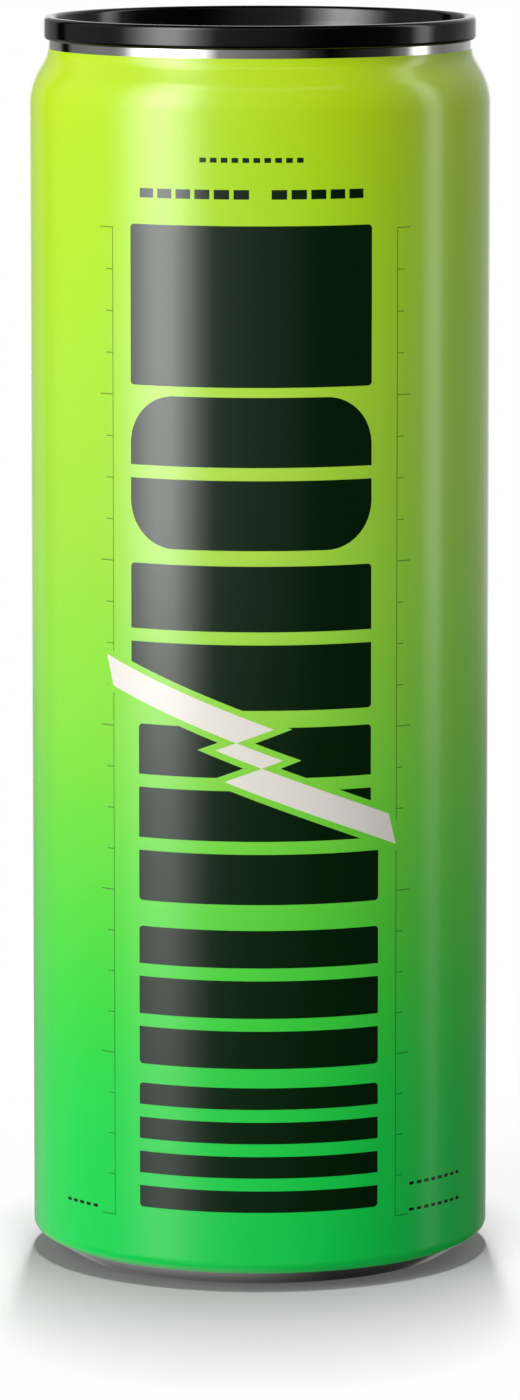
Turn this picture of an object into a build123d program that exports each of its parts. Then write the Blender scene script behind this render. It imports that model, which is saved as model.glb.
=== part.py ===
from build123d import *
import os
from math import cos, radians, sin, sqrt, tan

# A sealed slim drinks can: a necked, printed body, a black end seamed on top, and the end's stay-on tab.
# Millimetres, +Z up. The origin is the centre of the base, on the plane that the can stands on, and the
# front of the print and the mouth in the end face -Y. Sections are drawn as (radius, height) and spun
# about Z. The can is shut, so the body is solid up to the underside of its end.

# Whole can
can_height = 155.5          # standing plane to the crest of the seam
body_radius = 28.65         # straight, printed wall

# Neck
neck_radius = 26.28         # bare band under the seam
neck_band_height = 1.05     # bare metal between the coating and the seam
coating_step = 0.08         # the coated wall stands out from the bare band by this much
neck_angle = 31.0           # steepest part of the neck, from vertical
shoulder_radius = 7.5       # wall into neck, convex
neck_hollow_radius = 2.8    # neck into the bare band, concave
neck_wall = 0.35

# Base
stand_radius = 23.15        # middle of the ring that the can stands on
stand_land = 0.50           # width of that ring's flat
nose_radius = 0.70          # rounding on both sides of the flat
chime_angle = 31.0          # sloping underside outside the ring, from horizontal
heel_radius = 1.40          # sloping underside into the wall
dome_height = 10.0
dome_edge_height = 2.8      # where the dome meets the ring's inner side
dome_edge_radius = 1.40

# End
seam_overhang = 0.58        # the seam stands out from the bare band by this much
seam_height = 2.90
seam_thickness = 1.25
seam_crown_radius = 0.55
seam_foot_radius = 0.50
chuck_wall_height = 1.90    # steep wall just inside the seam, from the crest down
chuck_wall_taper = 0.25
countersink_angle = 14.0    # wall from there down to the groove, from vertical
countersink_depth = 6.60    # crest to the bottom of the groove
countersink_radius = 0.65
panel_depth = 4.30          # crest to the flat panel
panel_edge_radius = 0.50
end_gauge = 0.30            # metal under the groove
end_clearance = 0.30        # between the end and the inside of the neck

# Mouth, rivet and tab, all on the panel and in line along Y
mouth_width = 20.0
mouth_rivet_gap = 5.6       # rivet axis to the near side of the mouth
mouth_edge_gap = 3.0        # far side of the mouth to the edge of the panel
score_width = 0.35
score_depth = 0.15
recess_depth = 0.40         # the panel is sunk this much round the mouth and the tab
recess_margin = 1.1
bead_length = 10.6          # raised pad that stiffens the mouth
bead_width = 4.6
bead_height = 0.28
bead_offset = 1.6           # pad's centre beyond the centre of the mouth
bead_edge_radius = 0.12
rivet_radius = 1.60
rivet_head_radius = 2.55
rivet_head_height = 0.55
rivet_head_edge = 0.22
rivet_dimple_radius = 1.10
rivet_dimple_depth = 0.22
rivet_clearance = 0.25      # between the rivet and the hole in the tab
well_depth = 0.90           # dish in the panel, for a fingertip under the tab
well_radius = 12.0
tab_width = 15.6
tab_tail_width = 13.6
tab_nose_reach = 8.6        # rivet axis to the tip over the mouth
tab_tail_gap = 5.8          # tail of the tab to the edge of the panel
tab_nose_corner = 5.6
tab_tail_corner = 4.8
tab_height = 1.35
tab_edge_radius = 0.55
tab_rim_width = 1.9
tab_web = 0.45              # sheet inside the curled rim
tab_bar = 3.2               # behind the finger hole
tab_hole_length = 6.6
tongue_radius = 3.3         # sheet round the rivet that stays on the panel
tongue_slot = 0.6
tongue_root = 1.9           # how far past the rivet axis the slot runs

# Heights and radii that follow
seam_bottom = can_height - seam_height
coating_top = seam_bottom - neck_band_height
coating_neck_radius = neck_radius + coating_step
neck_inner_radius = neck_radius - neck_wall
plug_radius = neck_inner_radius - end_clearance
plug_bottom = can_height - countersink_depth - end_gauge
panel_top = can_height - panel_depth
recess_floor = panel_top - recess_depth
seam_radius = neck_radius + seam_overhang
seam_inner_radius = seam_radius - seam_thickness


def polar(centre, radius, angle):
    return (centre[0] + radius * cos(radians(angle)), centre[1] + radius * sin(radians(angle)))


def arc(centre, radius, start, end):
    middle = (start + end) / 2
    return ThreePointArc(*(polar(centre, radius, angle) for angle in (start, middle, end)))


def joined(*pieces):
    """One closed outline: arcs and points in order, with straight runs between them."""
    edges = []
    previous = None
    first = None
    for piece in pieces:
        is_arc = not isinstance(piece, tuple)
        start = piece @ 0 if is_arc else Vector(*piece)
        if previous is None:
            first = start
        elif (start - previous).length > 1e-6:
            edges.append(Line(previous, start))
        if is_arc:
            edges.append(piece)
        previous = piece @ 1 if is_arc else start
    if (previous - first).length > 1e-6:
        edges.append(Line(previous, first))
    return edges


def spun(*pieces):
    section = Plane.XZ * make_face(joined(*pieces))
    return revolve(section, Axis.Z)


def dome_arc():
    """From the middle of the dome to where its edge rounding starts, and that rounding."""
    ring_inner = stand_radius - stand_land / 2 - nose_radius
    edge_centre = (ring_inner - dome_edge_radius, dome_edge_height)
    rise = dome_height - edge_centre[1]
    # The dome touches the rounding from outside, so their centres and radii fix its radius.
    dome_radius = (edge_centre[0] ** 2 + rise ** 2 - dome_edge_radius ** 2) / (2 * (rise - dome_edge_radius))
    dome_centre = (0.0, dome_height - dome_radius)
    lean = Vector(edge_centre[0] - dome_centre[0], edge_centre[1] - dome_centre[1]).get_angle(Vector(1, 0))
    dome = arc(dome_centre, dome_radius, 90, lean)
    edge = arc(edge_centre, dome_edge_radius, lean, 0)
    return dome, edge


def base_section():
    """Dome, standing ring, sloping chime and heel, from the axis out to the wall."""
    dome, dome_edge = dome_arc()
    land_inner = stand_radius - stand_land / 2
    land_outer = stand_radius + stand_land / 2
    inner_nose = arc((land_inner, nose_radius), nose_radius, 180, 270)
    outer_nose = arc((land_outer, nose_radius), nose_radius, 270, 270 + chime_angle)
    nose_end = outer_nose @ 1
    heel_start = polar((body_radius - heel_radius, 0), heel_radius, chime_angle - 90)
    heel_height = nose_end.Y + (heel_start[0] - nose_end.X) * tan(radians(chime_angle)) - heel_start[1]
    heel = arc((body_radius - heel_radius, heel_height), heel_radius, chime_angle - 90, 0)
    return [dome, dome_edge, inner_nose, outer_nose, heel]


def neck_section():
    """Shoulder and neck, from the wall up to the top of the coating."""
    turned = 1 - cos(radians(neck_angle))
    inward = body_radius - coating_neck_radius
    run = (inward - (shoulder_radius + neck_hollow_radius) * turned) / sin(radians(neck_angle))
    rise = (shoulder_radius + neck_hollow_radius) * sin(radians(neck_angle)) + run * cos(radians(neck_angle))
    shoulder_centre = (body_radius - shoulder_radius, coating_top - rise)
    hollow_centre = (coating_neck_radius + neck_hollow_radius, coating_top)
    shoulder = arc(shoulder_centre, shoulder_radius, 0, neck_angle)
    hollow = arc(hollow_centre, neck_hollow_radius, 180 + neck_angle, 180)
    return [shoulder, hollow]


def can_body():
    return spun(
        *base_section(),
        *neck_section(),
        (neck_radius, coating_top),
        (neck_radius, seam_bottom),
        (neck_inner_radius, seam_bottom),
        (neck_inner_radius, plug_bottom),
        (0.0, plug_bottom),
    )


def panel_radius():
    """Radius of the panel's upright edge, which the countersink groove runs round."""
    groove_bottom = can_height - countersink_depth
    wall_bottom = groove_bottom + countersink_radius * (1 - sin(radians(countersink_angle)))
    drop = can_height - chuck_wall_height - wall_bottom
    wall_radius = seam_inner_radius - chuck_wall_taper - drop * tan(radians(countersink_angle))
    return wall_radius - countersink_radius * (1 + cos(radians(countersink_angle)))


def end_blank():
    """Seam, chuck wall, groove and flat panel."""
    groove_centre = (panel_radius() + countersink_radius, can_height - countersink_depth + countersink_radius)
    foot_centre = (seam_radius - seam_foot_radius, seam_bottom + seam_foot_radius)
    outer_crown = (seam_radius - seam_crown_radius, can_height - seam_crown_radius)
    inner_crown = (seam_inner_radius + seam_crown_radius, can_height - seam_crown_radius)
    edge_centre = (panel_radius() - panel_edge_radius, panel_top - panel_edge_radius)
    return spun(
        (0.0, plug_bottom),
        (plug_radius, plug_bottom),
        (plug_radius, seam_bottom),
        arc(foot_centre, seam_foot_radius, -90, 0),
        arc(outer_crown, seam_crown_radius, 0, 90),
        arc(inner_crown, seam_crown_radius, 90, 180),
        (seam_inner_radius - chuck_wall_taper, can_height - chuck_wall_height),
        arc(groove_centre, countersink_radius, -countersink_angle, -180),
        arc(edge_centre, panel_edge_radius, 0, 90),
        (0.0, panel_top),
    )


def mouth_place():
    """Centre and half length of the mouth along Y."""
    far = panel_radius() - mouth_edge_gap
    return -(mouth_rivet_gap + far) / 2, (far - mouth_rivet_gap) / 2


def mouth_outline(margin=0.0):
    centre, half_length = mouth_place()
    return Pos(0, centre) * Ellipse(mouth_width / 2 + margin, half_length + margin)


def tab_tail_reach():
    return panel_radius() - tab_tail_gap


def tab_outline(margin=0.0):
    """Four rounded corners, wider at the nose, pulled tight round with straight sides."""
    nose = tab_width / 2 - tab_nose_corner, tab_nose_corner - tab_nose_reach, tab_nose_corner
    tail = tab_tail_width / 2 - tab_tail_corner, tab_tail_reach() - tab_tail_corner, tab_tail_corner
    corners = Sketch()
    for x, y, radius in (nose, tail):
        corners += Locations((x, y), (-x, y)) * Circle(radius + margin)
    return make_hull(corners.edges())


def raised(sketch, height, amount):
    return extrude(Pos(0, 0, height) * sketch, amount)


def rivet():
    head_bottom = recess_floor + tab_web
    shank = Pos(0, 0, recess_floor) * Cylinder(rivet_radius, tab_web, align=(Align.CENTER, Align.CENTER, Align.MIN))
    head = Cylinder(rivet_head_radius, rivet_head_height, align=(Align.CENTER, Align.CENTER, Align.MIN))
    head = fillet(head.edges().group_by(Axis.Z)[-1], rivet_head_edge)
    dimple = Pos(0, 0, rivet_head_height) * Cylinder(rivet_dimple_radius, 2 * rivet_dimple_depth)
    return shank + Pos(0, 0, head_bottom) * (head - dimple)


def finger_well():
    centre = recess_floor - well_depth + well_radius
    return Pos(0, tab_tail_reach() - tab_bar / 2, centre) * Sphere(well_radius)


def mouth_bead():
    centre, _ = mouth_place()
    pad = raised(Pos(0, centre - bead_offset) * SlotOverall(bead_length, bead_width), recess_floor, bead_height)
    return fillet(pad.edges().group_by(Axis.Z)[-1], bead_edge_radius)


def can_end():
    recess = mouth_outline(recess_margin) + tab_outline(recess_margin)
    score = mouth_outline(score_width / 2) - mouth_outline(-score_width / 2)
    end = end_blank() - raised(recess, recess_floor, 2 * recess_depth) - finger_well()
    end -= raised(score, recess_floor - score_depth, 2 * score_depth)
    return end + mouth_bead() + rivet()


def pull_tab():
    tab = raised(tab_outline(), recess_floor, tab_height)
    rims = tab.edges().group_by(Axis.Z)
    tab = fillet(rims[0] + rims[-1], tab_edge_radius)
    tab -= raised(tab_outline(-tab_rim_width), recess_floor + tab_web, tab_height)
    hole_place = tab_tail_reach() - tab_bar - tab_hole_length / 2
    finger_hole = Pos(0, hole_place) * Ellipse(tab_tail_width / 2 - tab_rim_width, tab_hole_length / 2)
    slot = Circle(tongue_radius + tongue_slot) - Circle(tongue_radius)
    slot -= Pos(0, -tongue_root) * Rectangle(tab_width, tab_width, align=(Align.CENTER, Align.MAX))
    rivet_hole = Circle(rivet_radius + rivet_clearance)
    return tab - raised(finger_hole + slot + rivet_hole, recess_floor, tab_height)


os.makedirs("parts", exist_ok=True)
for name, make in (("can_body", can_body), ("can_end", can_end), ("pull_tab", pull_tab)):
    export_step(make(), f"parts/{name}.step")
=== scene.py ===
import bmesh
import bpy
import math
from mathutils import Matrix, Vector


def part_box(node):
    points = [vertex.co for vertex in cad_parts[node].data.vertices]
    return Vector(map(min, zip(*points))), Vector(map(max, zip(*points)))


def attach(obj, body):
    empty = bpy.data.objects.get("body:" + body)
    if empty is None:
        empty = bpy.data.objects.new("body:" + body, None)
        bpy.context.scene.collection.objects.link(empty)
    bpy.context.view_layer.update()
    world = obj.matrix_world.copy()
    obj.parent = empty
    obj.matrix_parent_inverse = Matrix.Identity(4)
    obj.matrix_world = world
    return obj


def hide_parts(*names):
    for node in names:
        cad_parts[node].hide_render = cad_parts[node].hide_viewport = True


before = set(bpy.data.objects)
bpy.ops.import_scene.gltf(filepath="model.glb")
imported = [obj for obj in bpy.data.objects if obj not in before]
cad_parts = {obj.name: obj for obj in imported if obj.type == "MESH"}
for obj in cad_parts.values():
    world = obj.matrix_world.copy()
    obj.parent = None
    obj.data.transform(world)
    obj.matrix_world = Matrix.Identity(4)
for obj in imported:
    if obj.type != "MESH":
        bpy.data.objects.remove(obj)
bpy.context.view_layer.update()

mm = 0.001
_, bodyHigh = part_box("can_body")
endLow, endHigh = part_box("can_end")
tabLow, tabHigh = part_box("pull_tab")
canTop = endHigh.z / mm
seamBottom = bodyHigh.z / mm
wallRadius = min(bodyHigh.x, bodyHigh.y) / mm
seamRadius = min(endHigh.x, endHigh.y) / mm
print("stage: frame loaded, can", round(canTop, 2), "mm tall")


# shader maths: an expression on Wires adds the nodes that work it out
class Wire:
    def __init__(self, finish, socket):
        self.finish = finish
        self.socket = socket

    def calc(self, operation, *others):
        inputs = dict(enumerate((self, *others)))
        return self.finish.node("ShaderNodeMath", {"operation": operation}, inputs)

    def __add__(self, other):
        return self.calc("ADD", other)

    def __mul__(self, other):
        return self.calc("MULTIPLY", other)

    def __sub__(self, other):
        return self.calc("SUBTRACT", other)

    def __rsub__(self, other):
        return self.finish.node("ShaderNodeMath", {"operation": "SUBTRACT"}, {0: other, 1: self})

    def __truediv__(self, other):
        return self.calc("DIVIDE", other)

    def __abs__(self):
        return self.calc("ABSOLUTE")

    def __gt__(self, other):
        return self.calc("GREATER_THAN", other)

    def __lt__(self, other):
        return self.calc("LESS_THAN", other)

    def __or__(self, other):
        return self.calc("MAXIMUM", other)

    __radd__ = __add__
    __rmul__ = __mul__

    def within(self, low, high):  # 1 between the two values, 0 outside
        return abs(self - (low + high) / 2) < (high - low) / 2


class Finish:
    def __init__(self, owner, point="Object"):
        self.owner = owner
        owner.use_nodes = True
        self.tree = owner.node_tree
        self.tree.nodes.clear()
        self.point = self.node("ShaderNodeTexCoord", output=point)

    def node(self, kind, settings=None, inputs=None, output=0):
        made = self.tree.nodes.new(kind)
        for name, value in (settings or {}).items():
            if name == "stops":
                setStops(made.color_ramp, value)
            else:
                setattr(made, name, value)
        for name, value in (inputs or {}).items():
            if isinstance(value, Wire):
                self.tree.links.new(value.socket, made.inputs[name])
            else:
                made.inputs[name].default_value = value
        return Wire(self, made.outputs[output]) if made.outputs else made

    def axes(self):
        split = self.node("ShaderNodeSeparateXYZ", inputs={0: self.point}).socket.node
        return [Wire(self, axis) for axis in split.outputs]

    def mix(self, factor, first, second):
        inputs = {0: factor, 6: asColour(first), 7: asColour(second)}
        return self.node("ShaderNodeMix", {"data_type": "RGBA"}, inputs, 2)

    def scaled(self, colour, factor):
        return self.node("ShaderNodeVectorMath", {"operation": "SCALE"}, {0: colour, "Scale": factor})

    def noise(self, scale, detail=2.0, stretch=(1, 1, 1), vector=None):
        place = self.node("ShaderNodeMapping", inputs={"Vector": vector or self.point, "Scale": stretch})
        return self.node("ShaderNodeTexNoise", inputs={"Vector": place, "Scale": scale, "Detail": detail})

    def bump(self, height, distance, strength=1.0):
        inputs = {"Height": height, "Distance": distance, "Strength": strength}
        return self.node("ShaderNodeBump", inputs=inputs)

    def principled(self, **values):
        inputs = {name.replace("_", " "): asColour(value) for name, value in values.items()}
        return self.node("ShaderNodeBsdfPrincipled", inputs=inputs)

    def ramp(self, place, stops):
        return self.node("ShaderNodeValToRGB", {"stops": stops}, {"Fac": place})

    def done(self, shader, kind="ShaderNodeOutputMaterial"):
        self.node(kind, inputs={"Surface": shader})
        return self.owner


def newFinish(name):
    return Finish(bpy.data.materials.new(name))


def setStops(ramp, stops):
    while len(ramp.elements) < len(stops):
        ramp.elements.new(0.5)
    for element, (place, colour) in zip(ramp.elements, stops):
        element.position = place
        element.color = asColour(colour)


def asColour(value):
    return (*value, 1) if isinstance(value, tuple) and len(value) == 3 else value


def grey(level):
    return (level, level, level)


# meshes
def newPiece(name, mesh, materials=()):
    piece = bpy.data.objects.new(name, mesh)
    bpy.context.scene.collection.objects.link(piece)
    for material in materials:
        mesh.materials.append(material)
    return piece


# how finely a rounding is cut: degrees and millimetres a step, and the fewest steps
roundSteps = {"turn": 7.0, "outlineTurn": 6.0, "length": 0.6, "fewest": 4}


def drawSection(bm, corners):
    # corners are (radius, height, rounding) in millimetres, in order along the section
    points = [bm.verts.new((radius * mm, 0, height * mm)) for radius, height, _ in corners]
    for first, second in zip(points, points[1:]):
        bm.edges.new((first, second))
    turns = [0.0] + [(b.co - a.co).angle(c.co - b.co) for a, b, c in zip(points, points[1:], points[2:])]
    for point, turn, corner in zip(points[:-1], turns, corners):
        if corner[2]:
            byTurn = round(math.degrees(turn) / roundSteps["turn"])
            byLength = round(corner[2] * turn / roundSteps["length"])
            bmesh.ops.bevel(
                bm, geom=[point], offset=corner[2] * mm * math.tan(turn / 2), offset_type="OFFSET",
                segments=max(roundSteps["fewest"], byTurn, byLength), profile=0.5, affect="VERTICES",
                material=-1)


def drawOutline(bm, corners, height):
    # corners are (x, y, rounding) in millimetres, in order round a flat, closed outline
    points = [bm.verts.new((x * mm, y * mm, height * mm)) for x, y, _ in corners]
    bm.faces.new(points)
    sides = [after.co - before.co for before, after in zip(points[-1:] + points, points)]
    turns = [before.angle(after) for before, after in zip(sides, sides[1:] + sides[:1])]
    for point, turn, corner in zip(points, turns, corners):
        bmesh.ops.bevel(
            bm, geom=[point], offset=corner[2] * mm * math.tan(turn / 2), offset_type="OFFSET",
            segments=round(math.degrees(turn) / roundSteps["outlineTurn"]), profile=0.5,
            affect="VERTICES", material=-1)


def sharpEdges(bm, angle=60):
    return [edge for edge in bm.edges if edge.calc_face_angle(0) > math.radians(angle)]


def liftedSheet(bm, faces, thickness, edge):  # a flat sheet made solid, with its edges rounded
    made = bmesh.ops.extrude_face_region(bm, geom=faces, use_keep_orig=True)["geom"]
    lifted = [part for part in made if isinstance(part, bmesh.types.BMVert)]
    bmesh.ops.translate(bm, verts=lifted, vec=(0, 0, thickness * mm))
    bmesh.ops.recalc_face_normals(bm, faces=bm.faces)
    bmesh.ops.bevel(
        bm, geom=sharpEdges(bm), offset=edge * mm, segments=5, profile=0.5, affect="EDGES", material=-1)


def spunMesh(name, corners, steps=256, rings=0, shape=None):
    bm = bmesh.new()
    drawSection(bm, corners)
    if rings:  # the longest run near the top is cut into rings, for what is pressed into it
        high = [edge for edge in bm.edges if edge.verts[0].co.z > (canTop - 5) * mm]
        longest = max(high, key=lambda edge: edge.calc_length())
        bmesh.ops.subdivide_edges(bm, edges=[longest], cuts=rings)
    bmesh.ops.spin(
        bm, geom=bm.verts[:] + bm.edges[:], cent=(0, 0, 0), axis=(0, 0, 1), dvec=(0, 0, 0),
        angle=math.tau, steps=steps, use_merge=True, use_duplicate=False)
    bmesh.ops.remove_doubles(bm, verts=bm.verts, dist=1e-7)
    bmesh.ops.recalc_face_normals(bm, faces=bm.faces)
    if shape:
        for vert in bm.verts:
            vert.co.z += shape(vert.co / mm) * mm
    mesh = bpy.data.meshes.new(name)
    bm.to_mesh(mesh)
    bm.free()
    return mesh


def shadeSmooth(mesh, angle=30):
    mesh.shade_smooth()
    bm = bmesh.new()
    bm.from_mesh(mesh)
    for edge in bm.edges:
        edge.smooth = edge.calc_face_angle(0) < math.radians(angle)
    bm.to_mesh(mesh)
    bm.free()


# the printed wall
wall = {
    "neckAngle": 31.0, "shoulder": 7.5, "hollow": 2.8, "neck": 26.36, "bare": 26.28, "bareBand": 1.05,
    "domeHeight": 10.0, "dome": 41.6, "domeTurn": 31.16, "ringInner": 22.2, "domeCorner": 1.4,
    "ringOuter": 23.594, "nose": 0.7, "chimeAngle": 31.0, "heel": 1.4, "coatEdge": 27.05, "coat": 0.05,
    "neckInside": 25.93, "endFloor": endLow.z / mm, "coatMargin": 0.01, "baseTop": 12.0,
}


def wallCorners(w):
    coatTop = seamBottom - w["bareBand"]
    hollowHeight = coatTop - w["hollow"] * math.tan(math.radians(w["neckAngle"]) / 2)
    shoulderHeight = hollowHeight - (wallRadius - w["neck"]) / math.tan(math.radians(w["neckAngle"]))
    slope = math.tan(math.radians(w["chimeAngle"]))
    domeEdge = w["dome"] * math.tan(math.radians(w["domeTurn"]) / 2)
    ringTop = w["domeHeight"] - (w["ringInner"] - domeEdge) * math.tan(math.radians(w["domeTurn"]))
    coatEdgeHeight = (w["coatEdge"] - w["ringOuter"]) * slope
    return [
        (0, w["domeHeight"], 0),
        (domeEdge, w["domeHeight"], w["dome"]),
        (w["ringInner"], ringTop, w["domeCorner"]),
        (w["ringInner"], 0, w["nose"]),
        (w["ringOuter"], 0, w["nose"]),
        (w["coatEdge"], coatEdgeHeight + w["coat"], 0),
        (w["coatEdge"] + w["coat"] / 2, coatEdgeHeight, 0),
        (wallRadius, (wallRadius - w["ringOuter"]) * slope, w["heel"]),
        (wallRadius, shoulderHeight, w["shoulder"]),
        (w["neck"], hollowHeight, w["hollow"]),
        (w["neck"], coatTop, 0),
        (w["bare"], coatTop, 0),
        (w["bare"], seamBottom, 0),
        (w["neckInside"], seamBottom, 0),
        (w["neckInside"], w["endFloor"], 0),
        (0, w["endFloor"], 0),
    ]


# print, in millimetres round the wall (0 is the front) and up it
inks = {
    "ramp": ((6, (0.005, 0.655, 0.090)), (18, (0.010, 0.675, 0.080)), (27, (0.022, 0.69, 0.070)),
             (35, (0.048, 0.71, 0.058)), (47, (0.106, 0.73, 0.055)), (58, (0.178, 0.752, 0.055)),
             (69, (0.258, 0.771, 0.055)), (81, (0.332, 0.781, 0.053)), (92, (0.393, 0.787, 0.050)),
             (103, (0.44, 0.80, 0.046)), (115, (0.475, 0.815, 0.037)), (127, (0.50, 0.826, 0.021)),
             (138, (0.54, 0.828, 0.015)), (150, (0.592, 0.83, 0.010))),
    "dark": (0.0007, 0.0140, 0.0018), "pale": (0.86, 0.83, 0.78),
    "glow": (0.78, 0.81, 0.17), "glowPlace": (-2.0, 97.0), "glowReach": (9.5, 18.0, 27.0),
    "glowShare": 0.30, "mottleScale": 38.0, "mottle": 0.05, "peelScale": 900.0, "peel": 0.004,
    "roughScale": 160.0, "roughShare": 0.06, "paintRough": 0.42, "inkRough": 0.5, "varnishRough": 0.13,
}
column = {  # the bars up the front, where the lower ones stand a little to the right
    "middle": -1.25, "half": 15.4, "lowerShift": 1.07, "gap": 1.6,
    "blocks": ((10.0, 25.6, 3, 0.5), (28.0, 45.2, 2, 0.5), (48.4, 70.3, 2, 0.5), (72.4, 90.1, 1, 0.5),
               (92.0, 110.7, 1, 6.0), (111.9, 131.5, 0, 0.5)),  # low, high, slices, corner rounding
}
slash = {  # two slanting bars, joined by a small one in the middle
    "middle": (-1.33, 66.84), "fall": 0.38, "rise": 0.37, "lean": 0.268,
    "inner": 0.97, "outer": 4.40, "cut": 2.14, "reach": 15.99, "margin": 0.85,
}
rules = {  # a thin ticked line to each side of the column
    "middle": -0.755, "half": 18.62, "low": 8.5, "high": 130.95, "spaces": 24, "every": 4,
    "line": 0.13, "minor": 1.04, "major": 2.05, "strength": 0.62,
}
dashes = (  # low and high round the wall, middle height, dash height, pitch, share inked
    (-7.4, 5.8, 139.45, 0.60, 1.32, 0.62),
    (-15.3, -1.2, 135.3, 1.15, 2.42, 0.78),
    (1.4, 13.5, 135.3, 1.15, 2.42, 0.78),
    (-28.3, -21.9, 9.2, 0.40, 1.30, 0.6),
    (20.1, 30.2, 12.3, 0.40, 1.30, 0.6),
    (20.1, 30.2, 9.0, 0.40, 1.30, 0.6),
)


def slashMasks(around, up):
    m = slash["margin"]
    side, height = around - slash["middle"][0], up - slash["middle"][1]
    across = height + side * slash["fall"]
    along = height - side * slash["rise"]
    ends = abs(side + height * slash["lean"])
    flip = along.calc("SIGN")
    over = across * flip  # the lower bar is the upper one turned half round

    def bars(grow):
        bar = over.within(slash["inner"] - grow, slash["outer"] + grow)
        bar = bar * (abs(along) > slash["cut"] - grow) * (ends < slash["reach"] + grow)
        middle = (abs(across) < slash["inner"] + grow) * (abs(along) < slash["cut"] + grow)
        return bar | middle

    below = across < flip * (slash["inner"] + slash["outer"]) / 2
    return bars(0.0), bars(m), below


def columnMask(around, up, below):
    side = abs(around - column["middle"] - below * column["lowerShift"])
    gap = column["gap"]
    inked = None
    for low, high, slices, rounding in column["blocks"]:
        across = (side - (column["half"] - rounding)).calc("MAXIMUM", 0.0)
        along = (abs(up - (low + high) / 2) - ((high - low) / 2 - rounding)).calc("MAXIMUM", 0.0)
        block = (across * across + along * along) < rounding * rounding
        if slices:
            pitch = (high - low + gap) / (slices + 1)
            block = block * (abs((up - low + gap / 2).calc("WRAP", pitch / 2, -pitch / 2)) > gap / 2)
        inked = block if inked is None else inked + block
    return inked


def ruleMask(around, up):
    side = abs(around - rules["middle"])
    pitch = (rules["high"] - rules["low"]) / rules["spaces"]
    thin = rules["line"] / 2
    tall = up.within(rules["low"] - thin, rules["high"] + thin)
    line = side.within(rules["half"] - thin, rules["half"] + thin)
    minor = abs((up - rules["low"]).calc("WRAP", pitch / 2, -pitch / 2)) < thin
    minor = minor * side.within(rules["half"], rules["half"] + rules["minor"])
    wide = pitch * rules["every"]
    major = abs((up - rules["low"]).calc("WRAP", wide / 2, -wide / 2)) < thin
    major = major * side.within(rules["half"], rules["half"] + rules["major"])
    return (line | minor | major) * tall


def dashMask(around, up):
    inked = None
    for low, high, middle, height, pitch, share in dashes:
        row = around.within(low, high) * up.within(middle - height / 2, middle + height / 2)
        row = row * (((around - low) / pitch).calc("FRACT") < share)
        inked = row if inked is None else inked | row
    return inked


def glowMask(around, up):  # the paler middle of the front
    wide, above, under = inks["glowReach"]
    side = (around - inks["glowPlace"][0]) / wide
    rise = up - inks["glowPlace"][1]
    rise = rise.calc("MAXIMUM", 0.0) / above + rise.calc("MINIMUM", 0.0) / under
    return ((side * side + rise * rise) * -0.5).calc("EXPONENT")


def printFinish():
    f = newFinish("printed wall")
    x, y, z = f.axes()
    around = x.calc("ARCTAN2", y * -1.0) * wallRadius
    up = z * (1 / mm)
    low, high = inks["ramp"][0][0], inks["ramp"][-1][0]
    stops = [((height - low) / (high - low), colour) for height, colour in inks["ramp"]]
    place = (up - low) / (high - low)
    ground = f.ramp(place, stops)
    ground = f.mix(glowMask(around, up) * inks["glowShare"], ground, inks["glow"])
    ground = f.scaled(ground, (f.noise(inks["mottleScale"], 3.0) - 0.5) * inks["mottle"] + 1.0)
    pale, margin, below = slashMasks(around, up)
    blocks = columnMask(around, up, below) * (1 - margin)
    small = dashMask(around, up)
    fine = ruleMask(around, up) * rules["strength"] * (1 - margin)
    dark = blocks | small
    colour = f.mix(fine, ground, inks["dark"])
    colour = f.mix(pale, colour, inks["pale"])
    skin = f.bump(f.noise(inks["peelScale"], 2.0), inks["peel"] * mm, 0.35)
    rough = f.noise(inks["roughScale"], 4.0) * inks["roughShare"]
    varnish = {"Coat_Weight": 1.0, "Coat_Roughness": inks["varnishRough"], "Normal": skin}
    paint = f.principled(
        Base_Color=colour, Diffuse_Roughness=1.0, Roughness=rough + inks["paintRough"],
        Specular_IOR_Level=0.3, Coat_IOR=1.55, **varnish)
    ink = f.principled(
        Base_Color=inks["dark"], Roughness=rough + inks["inkRough"],
        Specular_IOR_Level=0.1, Coat_IOR=1.62, **varnish)
    return f.done(f.node("ShaderNodeMixShader", inputs={0: dark, 1: paint, 2: ink}))


bareMetal = {  # sizes in millimetres, noise scales a metre
    # the darker colour low on the slope by the standing ring is painted shade, standing in for the floor's
    # contact shadow
    "shades": ((0.76, 0.75, 0.73), (0.84, 0.83, 0.81)), "paintedShade": (0.16, 0.15, 0.145), "paintedShadeShare": 0.8,
    "paintedShadeLow": 0.6, "paintedShadeFade": 1.3, "paintedShadeInside": 0.4, "around": 0.02, "up": 60.0, "lineScale": 40.0,
    "lineDepth": 0.002, "rough": (0.07, 0.06),
}


def bareMetalFinish(b):
    f = newFinish("bare aluminium")
    x, y, z = f.axes()
    angle = x.calc("ARCTAN2", y)
    drawn = f.node("ShaderNodeCombineXYZ", inputs={0: angle * b["around"], 1: z * b["up"], 2: 0.0})
    lines = f.noise(b["lineScale"], 3.0, vector=drawn)
    radius = (x * x + y * y).calc("SQRT") / mm
    low = 1 - ((z / mm - b["paintedShadeLow"]) / b["paintedShadeFade"]).calc("MINIMUM", 1.0).calc("MAXIMUM", 0.0)
    paintedShade = low * (radius > wall["ringOuter"] - b["paintedShadeInside"])  # painted shade: the slope darkens towards the standing ring, standing in for the floor's contact shadow
    bright = f.mix(lines, *b["shades"])
    least, spare = b["rough"]
    return f.done(f.principled(
        Base_Color=f.mix(paintedShade * b["paintedShadeShare"], bright, b["paintedShade"]), Metallic=1.0,
        Roughness=lines * spare + least, Normal=f.bump(lines, b["lineDepth"] * mm, 0.3)))


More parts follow.
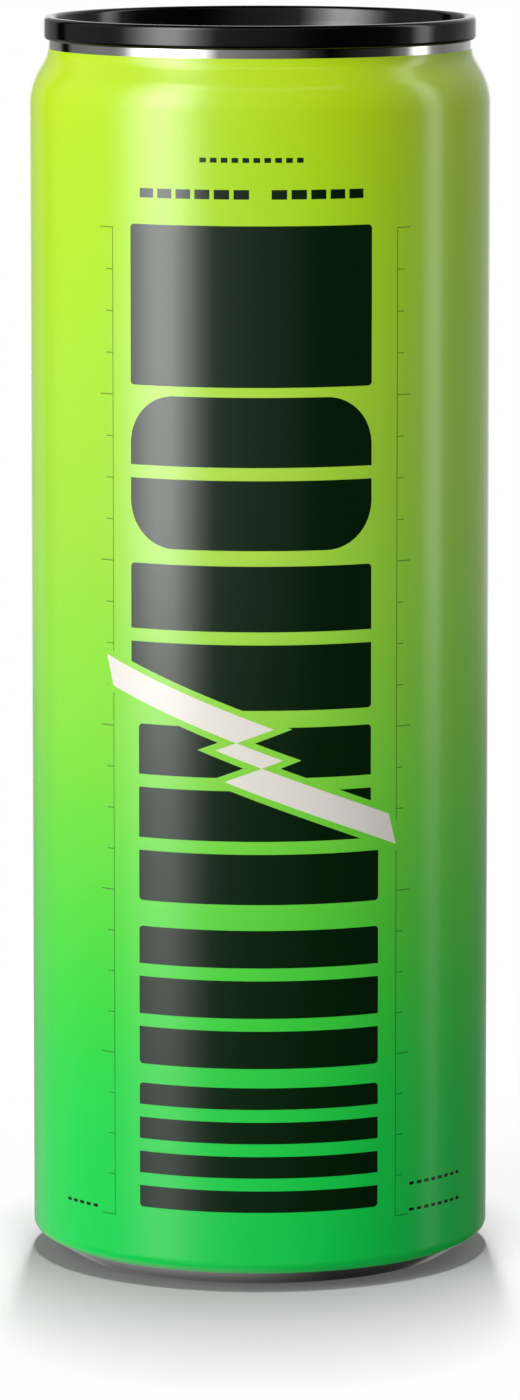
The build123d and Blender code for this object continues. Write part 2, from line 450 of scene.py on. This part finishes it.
def makeWall():
    mesh = spunMesh("canWall", wallCorners(wall))
    shadeSmooth(mesh, 25)
    piece = newPiece("canWall", mesh, (printFinish(), bareMetalFinish(bareMetal)))
    coatTop = seamBottom - wall["bareBand"] - wall["coatMargin"]
    for face in mesh.polygons:
        x, y, z = face.center / mm
        bareBase = z < wall["baseTop"] and math.hypot(x, y) < wall["coatEdge"]
        face.material_index = int(z > coatTop or bareBase)
    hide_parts("can_body")
    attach(piece, "root")


# the end: seam, chuck wall, groove and pressed panel, with the rivet in its middle
end = {
    "seamThickness": 1.25, "crown": 0.55, "foot": 0.50,
    "chuckHeight": 1.9, "chuckTaper": 0.25, "chuckAngle": 14.0, "chuckEdge": 0.6,
    "grooveDepth": 6.6, "groove": 0.64, "grooveWidth": 1.16, "plug": 25.63,
    "panelDepth": 4.3, "panelEdge": 0.5,
    "rivet": 1.6, "rivetHead": 2.55, "headHeight": 0.55, "headEdge": 0.22,
    "dimple": 1.1, "dimpleDepth": 0.22, "dimpleEdge": 0.1,
    "recess": 0.4, "recessMargin": 1.1, "ease": 0.7, "rings": 96, "steps": 384,
    "shade": (0.0012, 0.0012, 0.0011),
    "mouth": (0.0, -12.82), "mouthHalf": (10.0, 7.22), "scoreWidth": 0.22,
    "bead": (3.0, 2.3), "beadOffset": 1.6, "beadHeight": 0.26,
    "well": 0.9, "wellRadius": 12.0, "wellReach": 4.5, "wellEase": 1.2, "pressedReach": 22.5,
}
tab = {
    "noseHalf": 8.175, "tailHalf": 6.50, "noseCorner": 5.6, "tailCorner": 4.8, "flat": 2.1,
    "rim": 1.9, "rimEdge": 0.6, "web": 0.45, "webEdge": 0.12, "webLap": 0.4,
    "hole": (4.9, 3.3), "bar": 3.2, "tongue": 3.3, "slot": 0.6, "slotTurn": 122.0,
    "shade": (0.0020, 0.0020, 0.0019),
}
tabBottom = tabLow.z / mm
tabNose, tabTail = tabLow.y / mm, tabHigh.y / mm


def endCorners(e):
    panelTop = canTop - e["panelDepth"]
    grooveLow = canTop - e["grooveDepth"]
    headLow = tabBottom + tab["web"]
    headTop = headLow + e["headHeight"]
    chuckRadius = seamRadius - e["seamThickness"] - e["chuckTaper"]
    chuckLow = canTop - e["chuckHeight"]
    grooveOuter = chuckRadius - (chuckLow - grooveLow) * math.tan(math.radians(e["chuckAngle"]))
    panelRadius = grooveOuter - e["grooveWidth"]
    return [
        (0, headTop - e["dimpleDepth"], 0),
        (e["dimple"], headTop - e["dimpleDepth"], e["dimpleEdge"]),
        (e["dimple"], headTop, e["dimpleEdge"]),
        (e["rivetHead"], headTop, e["headEdge"]),
        (e["rivetHead"], headLow, 0),
        (e["rivet"], headLow, 0),
        (e["rivet"], panelTop, 0),
        (panelRadius, panelTop, e["panelEdge"]),
        (panelRadius, grooveLow, e["groove"]),
        (grooveOuter, grooveLow, e["groove"]),
        (chuckRadius, chuckLow, e["chuckEdge"]),
        (seamRadius - e["seamThickness"], canTop, e["crown"]),
        (seamRadius, canTop, e["crown"]),
        (seamRadius, seamBottom, e["foot"]),
        (e["plug"], seamBottom, 0),
        (e["plug"], wall["endFloor"], 0),
        (0, wall["endFloor"], 0),
    ]


def inside(distance, ease):  # 0 outside an outline, easing to 1 inside it
    share = min(max(0.5 - distance / ease, 0.0), 1.0)
    return share * share * (3 - 2 * share)


def mouthDistance(x, y):
    side, along = x - end["mouth"][0], y - end["mouth"][1]
    wide, long = end["mouthHalf"]
    near = math.hypot(side / wide, along / long)
    return near * (near - 1) / max(math.hypot(side / wide ** 2, along / long ** 2), 0.001)


def tabDistance(x, y):
    nose, tail = tabNose + tab["noseCorner"], tabTail - tab["tailCorner"]
    share = min(max((y - nose) / (tail - nose), 0.0), 1.0)
    corner = tab["noseCorner"] + (tab["tailCorner"] - tab["noseCorner"]) * share
    return math.hypot(max(abs(x) - tab["flat"], 0.0), max(nose - y, y - tail, 0.0)) - corner


def pressedPanel(place):  # how far the panel is pressed down or up
    level = canTop - end["panelDepth"]
    if abs(place.z - level) > 0.001 or math.hypot(place.x, place.y) > end["pressedReach"]:
        return 0.0
    x, y = place.x, place.y
    recess = inside(min(mouthDistance(x, y), tabDistance(x, y)) - end["recessMargin"], end["ease"])
    half, radius = end["bead"]
    beadY = end["mouth"][1] - end["beadOffset"]
    bead = inside(math.hypot(max(abs(x) - half, 0.0), y - beadY) - radius, end["ease"])
    wellY = tabTail - tab["bar"] / 2
    reach = math.hypot(x, y - wellY)
    dish = math.sqrt(max(end["wellRadius"] ** 2 - reach ** 2, 0.0)) - end["wellRadius"] + end["well"]
    dish = max(dish, 0.0) * inside(reach - end["wellReach"], end["wellEase"])
    return bead * end["beadHeight"] - recess * end["recess"] - dish


lacquer = {  # sizes in millimetres, noise scales a metre
    "cloudScale": 90.0, "cloudShade": 1.7, "rolledScale": 420.0, "rolled": 0.3, "fineScale": 1500.0,
    "scuffScale": 1100.0, "scuffFrom": 0.64, "crest": 0.10, "scuff": (0.05, 0.05, 0.05), "scuffShare": 0.5,
    "rough": 0.055, "cloudRough": 0.04, "scuffRough": 0.15,
    "depth": 0.0012, "scoreDepth": 40.0, "scoreAbove": 3.5,
}


def lacquerFinish(name, shade, grain, scored=False):
    f = newFinish(name)
    x, y, z = f.axes()
    cloud = f.noise(lacquer["cloudScale"], 4.0)
    rolled = f.noise(lacquer["rolledScale"], 3.0, stretch=grain)
    height = rolled * lacquer["rolled"] + f.noise(lacquer["fineScale"], 1.0)
    scuff = f.noise(lacquer["scuffScale"], 3.0) > lacquer["scuffFrom"]
    scuff = scuff * (z > (canTop - lacquer["crest"]) * mm)  # rubbed along the crest of the seam
    if scored:
        side, along = x / mm - end["mouth"][0], y / mm - end["mouth"][1]
        wide, long = end["mouthHalf"]
        near = ((side * side) / wide ** 2 + (along * along) / long ** 2).calc("SQRT")
        line = 1 - (abs(near - 1) * long / end["scoreWidth"]).calc("MINIMUM", 1.0)
        height = height - line * (z < (canTop - lacquer["scoreAbove"]) * mm) * lacquer["scoreDepth"]
    clouded = f.mix(cloud, shade, tuple(part * lacquer["cloudShade"] for part in shade))
    worn = f.mix(scuff * lacquer["scuffShare"], clouded, lacquer["scuff"])
    rough = cloud * lacquer["cloudRough"] + scuff * lacquer["scuffRough"] + lacquer["rough"]
    return f.done(f.principled(
        Base_Color=worn, Roughness=rough, IOR=1.56, Normal=f.bump(height, lacquer["depth"] * mm)))


def makeEnd():
    mesh = spunMesh("canEnd", endCorners(end), end["steps"], end["rings"], pressedPanel)
    shadeSmooth(mesh, 35)
    finish = lacquerFinish("black end lacquer", end["shade"], (1, 0.03, 1), scored=True)
    piece = newPiece("canEnd", mesh, (finish,))
    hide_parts("can_end")
    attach(piece, "root")


def tabOutline(bm):
    drawOutline(bm, [
        (tab["noseHalf"], tabNose, tab["noseCorner"]), (tab["tailHalf"], tabTail, tab["tailCorner"]),
        (-tab["tailHalf"], tabTail, tab["tailCorner"]), (-tab["noseHalf"], tabNose, tab["noseCorner"]),
    ], tabBottom)


def tabRim(bm):  # the curled edge
    tabOutline(bm)
    rim = bmesh.ops.inset_region(
        bm, faces=bm.faces[:], thickness=tab["rim"] * mm, use_boundary=True)["faces"]
    bmesh.ops.delete(bm, geom=[face for face in bm.faces if face not in rim], context="FACES_ONLY")
    liftedSheet(bm, bm.faces[:], (tabHigh.z - tabLow.z) / mm, tab["rimEdge"])


def tabWeb(bm):  # the sheet inside it, with the finger hole and the slot round the rivet's tongue
    tabOutline(bm)
    rim = bmesh.ops.inset_region(
        bm, faces=bm.faces[:], thickness=(tab["rim"] - tab["webLap"]) * mm, use_boundary=True)["faces"]
    bmesh.ops.delete(bm, geom=rim, context="FACES")
    bmesh.ops.delete(bm, geom=bm.faces[:], context="FACES_ONLY")
    hole = bmesh.ops.create_circle(bm, segments=56, radius=mm)["verts"]
    bmesh.ops.scale(bm, verts=hole, vec=(*tab["hole"], 1))
    holeMiddle = tabTail - tab["bar"] - tab["hole"][1]
    bmesh.ops.translate(bm, verts=hole, vec=(0, holeMiddle * mm, tabBottom * mm))
    radii = (tab["tongue"], tab["tongue"] + tab["slot"])
    start = [bm.verts.new((0, radius * mm, tabBottom * mm)) for radius in radii]
    edge = bm.edges.new(start)
    half = math.radians(tab["slotTurn"])
    bmesh.ops.rotate(bm, verts=start, cent=(0, 0, 0), matrix=Matrix.Rotation(-half, 3, "Z"))
    bmesh.ops.spin(
        bm, geom=[*start, edge], cent=(0, 0, 0), axis=(0, 0, 1), dvec=(0, 0, 0), angle=half * 2, steps=40,
        use_merge=False, use_duplicate=False)
    slotFaces = bm.faces[:]
    inner = [edge for edge in bm.edges if len(edge.link_faces) == 2]
    bmesh.ops.delete(bm, geom=slotFaces, context="FACES_ONLY")
    bmesh.ops.delete(bm, geom=inner, context="EDGES")
    bmesh.ops.triangle_fill(bm, use_beauty=True, use_dissolve=False, edges=bm.edges[:])
    liftedSheet(bm, bm.faces[:], tab["web"], tab["webEdge"])


def makeTab():
    mesh = bpy.data.meshes.new("pullTab")
    bm = bmesh.new()
    for part in (tabRim, tabWeb):
        made = bmesh.new()
        part(made)
        made.to_mesh(mesh)
        made.free()
        bm.from_mesh(mesh)
    bm.to_mesh(mesh)
    bm.free()
    shadeSmooth(mesh, 35)
    piece = newPiece("pullTab", mesh, (lacquerFinish("black tab lacquer", tab["shade"], (0.03, 1, 1)),))
    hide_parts("pull_tab")
    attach(piece, "root")


makeWall()
print("stage: wall made")
makeEnd()
makeTab()
print("stage: end, rivet and tab made")


# camera, floor and lights
view = {"distance": 0.91726, "height": 0.199955, "pitch": 8.083, "lens": 189.46}


def makeCamera():
    data = bpy.data.cameras.new("camera")
    data.lens = view["lens"]
    data.sensor_width = 36.0
    camera = bpy.data.objects.new("camera", data)
    camera.location = (0, -view["distance"], view["height"])
    camera.rotation_euler = (math.radians(90 - view["pitch"]), 0, 0)
    bpy.context.scene.collection.objects.link(camera)
    bpy.context.scene.camera = camera


# the studio, by compass direction (0 is in front of the can, positive to its right) and by height
studio = {
    "around": (
        (-180, 0.90), (-171, 0.45), (-150, 0.33), (-141, 0.28), (-135, 0.0), (-129, 0.0), (-124, 0.20),
        (-98, 0.28), (-86, 0.26),
        (-79, 0.45), (-71, 2.0), (-62, 4.6), (-54, 6.7), (-45, 6.6), (-37.5, 3.9), (-30, 1.6), (-23, 0.34),
        (-5, 0.22), (16, 0.13), (27, 0.03), (38, 0.0), (74, 0.04),
        (87, 0.28), (92, 1.6), (95, 2.4), (100, 2.4), (104, 0.9), (107, 0.35),
        (116, 0.22), (141, 0.40), (150, 0.55), (180, 0.9)),
    "tall": (
        (-1.0, 0.02), (-0.45, 0.05), (-0.25, 0.18), (-0.20, 0.28), (-0.168, 0.34), (-0.148, 0.42),
        (-0.128, 0.96), (-0.05, 1.0), (0.12, 1.0), (0.28, 1.3), (0.42, 1.3), (0.56, 1.0),
        (0.66, 1.0), (0.74, 0.5), (0.82, 0.1), (1.0, 0.0)),
    "brightest": 7.0, "tallest": 1.3,
    "under": (0.36, -150, 0.78), "underTop": -0.35,  # level, direction, cosine where it ends
    "low": ((-1.0, 0.0), (-0.40, 0.0), (-0.34, 0.32), (-0.22, 0.32), (-0.10, 0.0), (1.0, 0.0)),
    "lowLobe": (-148, 0.4),  # direction, cosine where it ends
    "streak": (0.62, 0.70, 0.7), "streakTurn": (-60, 50),  # from and to in height, level; from and to round
    "backdrop": 0.97,  # how straight back a reflection has to run to meet the white one
}
lamps = (  # name, direction and height angle in degrees, distance, width and height in metres, watts
    ("fillLow", -6, -40, 1.5, 1.6, 0.6, 9.2),
    ("fillHigh", 10, 68, 1.5, 1.6, 0.6, 6.1),
    ("fillLeft", -126, 30, 1.5, 1.2, 1.0, 5.0),
    ("fillRight", 128, 30, 1.5, 1.2, 1.0, 7.6),
)
canLamps = (  # the same, for lamps that leave the floor alone
    ("fillBack", 180, 25, 1.5, 1.0, 0.8, 6.0),
)
lampAim = Vector((0, 0, 0.08))
floorLamps = (  # name, nearest and furthest place behind the can, width, height, watts
    ("floorBack", 0.0, 0.63, 0.04, 2.0, 116.0),
    ("floorFront", -0.25, -0.02, 0.10, 2.0, 56.0),
)


def spread(stops, low, high, top):
    return [((place - low) / (high - low), grey(level / top)) for place, level in stops]


def lobe(turn, middle, cut):  # 1 at the middle, falling to 0 to both sides
    return ((turn - math.radians(middle)).calc("COSINE") - cut).calc("MAXIMUM", 0.0) / (1 - cut)


def makeWorld():
    world = bpy.data.worlds.new("studio")
    bpy.context.scene.world = world
    f = Finish(world, "Generated")
    x, y, z = f.axes()
    top, tallest = studio["brightest"], studio["tallest"]
    turn = x.calc("ARCTAN2", y * -1.0)
    around = f.ramp(turn / math.tau + 0.5, spread(studio["around"], -180, 180, top))
    tall = f.ramp(z * 0.5 + 0.5, spread(studio["tall"], -1, 1, tallest))
    level, middle, cut = studio["under"]
    under = (z < studio["underTop"]) * lobe(turn, middle, cut) * level
    low = f.ramp(z * 0.5 + 0.5, spread(studio["low"], -1, 1, 1))
    under = under + low * lobe(turn, *studio["lowLobe"])
    low, high, level = studio["streak"]
    left, right = (math.radians(side) for side in studio["streakTurn"])
    streak = z.within(low, high) * turn.within(left, right) * level
    light = around * (top * tallest) * tall + under + streak
    rays = f.node("ShaderNodeLightPath").socket.node.outputs
    camera = Wire(f, rays["Is Camera Ray"])
    mirrored = Wire(f, rays["Is Glossy Ray"]) + Wire(f, rays["Is Transmission Ray"])
    plain = camera | (mirrored * (y > studio["backdrop"]))
    lit = f.node("ShaderNodeBackground", inputs={"Strength": light})
    white = f.node("ShaderNodeBackground", inputs={"Color": (1, 1, 1, 1), "Strength": 1.0})
    f.done(f.node("ShaderNodeMixShader", inputs={0: plain, 1: lit, 2: white}), "ShaderNodeOutputWorld")


floorSheet = {"radius": 3.0, "shade": 0.18, "glow": 0.085, "fade": (0.10, 0.20)}  # fades to white, in metres


def makeFloor():
    bm = bmesh.new()
    bmesh.ops.create_circle(bm, cap_ends=True, segments=96, radius=floorSheet["radius"])
    mesh = bpy.data.meshes.new("floor")
    bm.to_mesh(mesh)
    bm.free()
    f = newFinish("pale floor")
    x, y, _ = f.axes()
    near, far = floorSheet["fade"]
    away = ((x * x + y * y).calc("SQRT") - near) / (far - near)
    away = away.calc("MAXIMUM", 0.0).calc("MINIMUM", 1.0)
    matt = f.principled(
        Base_Color=grey(floorSheet["shade"]), Roughness=0.9, Specular_IOR_Level=0.0,
        Emission_Color=grey(1.0), Emission_Strength=floorSheet["glow"])
    white = f.node("ShaderNodeEmission", inputs={"Color": (1, 1, 1, 1), "Strength": 1.0})
    top = f.node("ShaderNodeMixShader", inputs={0: away, 1: matt, 2: white})
    below = f.node("ShaderNodeNewGeometry", output="Backfacing")  # clear from below, so that the base shows
    clear = f.node("ShaderNodeBsdfTransparent")
    shader = f.node("ShaderNodeMixShader", inputs={0: below, 1: top, 2: clear})
    floor = newPiece("floor", mesh, (f.done(shader),))
    floor.visible_glossy = False
    floor.visible_diffuse = False
    floor.visible_shadow = False
    floor.visible_transmission = False
    return floor


def newLamp(name, place, aim, width, tall, watts):
    data = bpy.data.lights.new(name, "AREA")
    data.shape = "RECTANGLE"
    data.size = width
    data.size_y = tall
    data.energy = watts
    lamp = bpy.data.objects.new(name, data)
    lamp.location = place
    lamp.rotation_euler = (Vector(place) - Vector(aim)).to_track_quat("Z", "Y").to_euler()
    bpy.context.scene.collection.objects.link(lamp)
    return lamp


def onlyFor(name, *pieces):
    group = bpy.data.collections.new(name)
    for piece in pieces:
        group.objects.link(piece)
    return group


def makeLamps(floor):
    onCan = onlyFor("can only", *(bpy.data.objects[name] for name in ("canWall", "canEnd", "pullTab")))
    onFloor = onlyFor("floor only", floor)
    for spec in lamps + canLamps:
        name, turn, rise, distance, width, tall, watts = spec
        turn, rise = math.radians(turn), math.radians(rise)
        flat = distance * math.cos(rise)
        place = (flat * math.sin(turn), -flat * math.cos(turn), lampAim.z + distance * math.sin(rise))
        lamp = newLamp(name, place, lampAim, width, tall, watts)
        lamp.visible_glossy = False
        if spec in canLamps:
            lamp.light_linking.receiver_collection = onCan
    for name, near, far, width, height, watts in floorLamps:
        middle = (near + far) / 2
        lamp = newLamp(name, (0, middle, height), (0, middle, 0), width, far - near, watts)
        lamp.light_linking.receiver_collection = onFloor


makeCamera()
makeWorld()
makeLamps(makeFloor())

bpy.context.scene.view_settings.view_transform = "Standard"
print("stage: scene complete")
